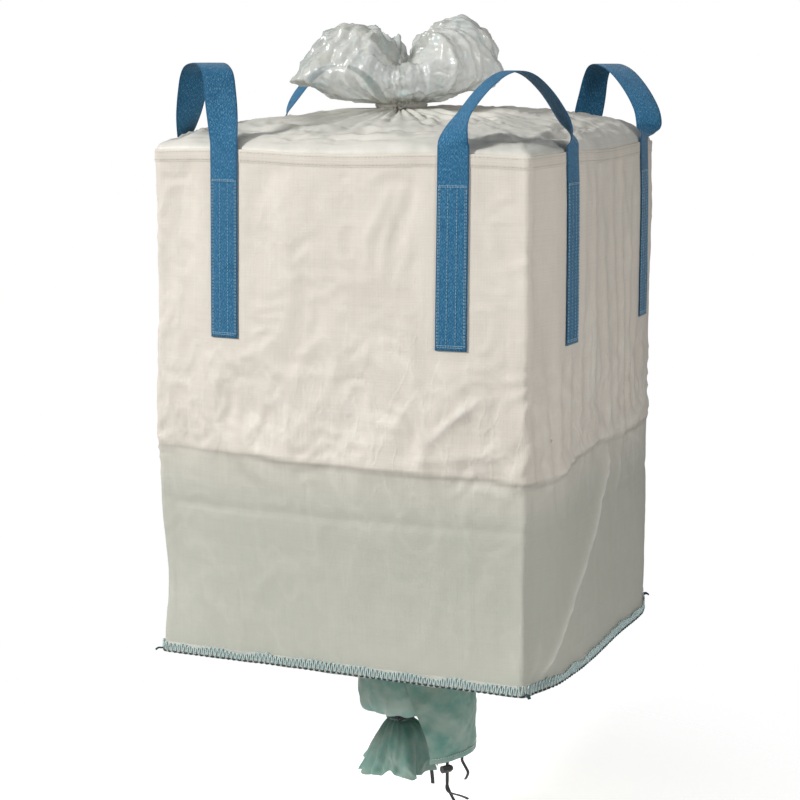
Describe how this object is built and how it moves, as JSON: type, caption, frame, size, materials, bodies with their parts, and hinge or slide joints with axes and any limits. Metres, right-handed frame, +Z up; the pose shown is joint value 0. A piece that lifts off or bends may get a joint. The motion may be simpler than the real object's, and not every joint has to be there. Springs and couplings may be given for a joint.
{
  "type": "bulk bag",
  "caption": "Woven bulk bag with corner lifting loops, a tied fill neck and a gathered discharge spout, hanging by its loops.",
  "frame": {"origin": "the lift point: on the bag's upright axis, level with the undersides of the loop crowns", "axes": "+Z up; +X and +Y square to the sides, with the discharge cover on the +X side of the spout"},
  "size_m": [0.965, 0.965, 1.9034],
  "materials": {
    "woven_cloth": "plain weave polypropylene, slight sheen",
    "skirt_cloth": "thin light weave, pleated",
    "film": "crumpled translucent film",
    "webbing": "ribbed blue webbing",
    "stitching": "sewing thread",
    "seam_thread": "pale green overlock thread",
    "spout_cloth": "thin green coated weave",
    "tape": "charcoal woven tape",
    "lock_plastic": "moulded, satin",
    "spring_steel": "drawn wire"
  },
  "bodies": {
    "bag": {"body_tube": "woven_cloth", "top_hem": "woven_cloth", "base_panel": "woven_cloth", "base_seam": "seam_thread", "seam_tails": "tape", "top_skirt": "skirt_cloth", "liner": "film", "neck_tie": "tape", "loop_legs_front_right": "webbing", "loop_legs_back_right": "webbing", "loop_legs_back_left": "webbing", "loop_legs_front_left": "webbing", "loop_stitching": "stitching", "discharge_spout": "spout_cloth", "spout_cover": "spout_cloth", "cover_hem": "spout_cloth", "spout_tie": "tape", "cover_tape_side": "tape", "cover_tape_long": "tape", "cover_tape_short": "tape"},
    "loop_front_right": {"loop_arch_front_right": "webbing"},
    "loop_back_right": {"loop_arch_back_right": "webbing"},
    "loop_back_left": {"loop_arch_back_left": "webbing"},
    "loop_front_left": {"loop_arch_front_left": "webbing"},
    "tuft": {"fill_tuft": "film"},
    "spout_end": {"discharge_tail": "spout_cloth", "spout_tie_tail": "tape"},
    "cord_lock": {"cord_lock_barrel": "lock_plastic"},
    "lock_button": {"cord_lock_plunger": "lock_plastic", "cord_lock_spring": "spring_steel"}
  },
  "joints": [
    {"name": "loop_front_right_fold", "type": "hinge", "parent": "bag", "child": "loop_front_right", "pos_m": [0.38744, -0.38744, -0.167], "axis": [0.7071, 0.7071, 0], "range_deg": [-25, 135]},
    {"name": "loop_back_right_fold", "type": "hinge", "parent": "bag", "child": "loop_back_right", "pos_m": [0.38744, 0.38744, -0.167], "axis": [-0.7071, 0.7071, 0], "range_deg": [-25, 135]},
    {"name": "loop_back_left_fold", "type": "hinge", "parent": "bag", "child": "loop_back_left", "pos_m": [-0.38744, 0.38744, -0.167], "axis": [-0.7071, -0.7071, 0], "range_deg": [-25, 135]},
    {"name": "loop_front_left_fold", "type": "hinge", "parent": "bag", "child": "loop_front_left", "pos_m": [-0.38744, -0.38744, -0.167], "axis": [0.7071, -0.7071, 0], "range_deg": [-25, 135]},
    {"name": "fill_tuft_tilt", "type": "hinge", "parent": "bag", "child": "tuft", "pos_m": [-0.035, 0, -0.092], "axis": [0, 1, 0], "range_deg": [-20, 20]},
    {"name": "spout_end_swing", "type": "hinge", "parent": "bag", "child": "spout_end", "pos_m": [-0.045, 0, -1.585], "axis": [1, 0, 0], "range_deg": [-25, 25]},
    {"name": "cord_lock_slide", "type": "slide", "parent": "bag", "child": "cord_lock", "axis": [0, 0, -1], "range_m": [0, 0.018]},
    {"name": "lock_button_press", "type": "slide", "parent": "cord_lock", "child": "lock_button", "axis": [-0.5736, -0.8192, 0], "range_m": [0, 0.004], "stiffness_N_per_m": 300, "springref_m": -0.004, "deforming": ["cord_lock_spring"]}
  ]
}
